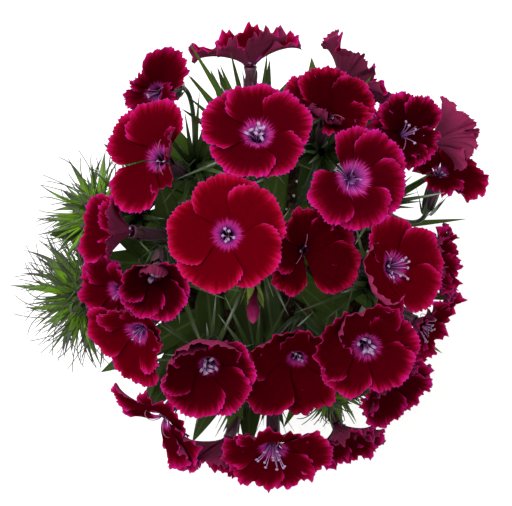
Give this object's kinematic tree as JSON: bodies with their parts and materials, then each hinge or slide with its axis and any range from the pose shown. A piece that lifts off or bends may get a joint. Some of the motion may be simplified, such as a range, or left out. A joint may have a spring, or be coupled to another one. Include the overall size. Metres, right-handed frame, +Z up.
{
  "type": "potted dianthus plant",
  "caption": "Sweet-william-type dianthus in a plain round tapered pot: a dome of toothed crimson florets with magenta rims on leafy green shoots, with a closed bud and bristly bud heads.",
  "frame": {"origin": "centre of the pot's flat underside", "axes": "+Z up along the pot's axis, +Y towards the back of the plant, +X to its right"},
  "size_m": [0.1686, 0.1651, 0.1933],
  "materials": {
    "petal": "matte velvety petal, crimson with a magenta rim and a lilac eye",
    "bud": "matte furled petal tips",
    "foliage": "satin green stems, leaves, calyces and awns",
    "pot_plastic": "plain off-white moulded plastic, softly satin",
    "potting_soil": "damp crumbly potting soil"
  },
  "bodies": {
    "root": {"pot": "pot_plastic", "soil": "potting_soil", "bloom_01": "petal", "bloom_02": "petal", "bloom_03": "petal", "bloom_04": "petal", "bloom_05": "petal", "bloom_06": "petal", "bloom_07": "petal", "bloom_08": "petal", "bloom_09": "petal", "bloom_10": "petal", "bloom_11": "petal", "bloom_12": "petal", "bloom_13": "petal", "bloom_14": "petal", "bloom_15": "petal", "bloom_16": "petal", "bloom_17": "petal", "bloom_18": "petal", "bloom_19": "petal", "bloom_20": "petal", "bloom_21": "petal", "bloom_22": "petal", "bloom_23": "petal", "bloom_24": "petal", "bloom_25": "petal", "bloom_26": "petal", "bloom_27": "petal", "bud_middle": "bud", "shoot_middle": "foliage", "shoot_back": "foliage", "shoot_back_right": "foliage", "shoot_right": "foliage", "shoot_front_right": "foliage", "shoot_front": "foliage", "shoot_front_left": "foliage", "shoot_low_left": "foliage", "shoot_left": "foliage", "shoot_back_left": "foliage", "shoot_bristly_left": "foliage", "shoot_bristly_back": "foliage"}
  },
  "joints": []
}
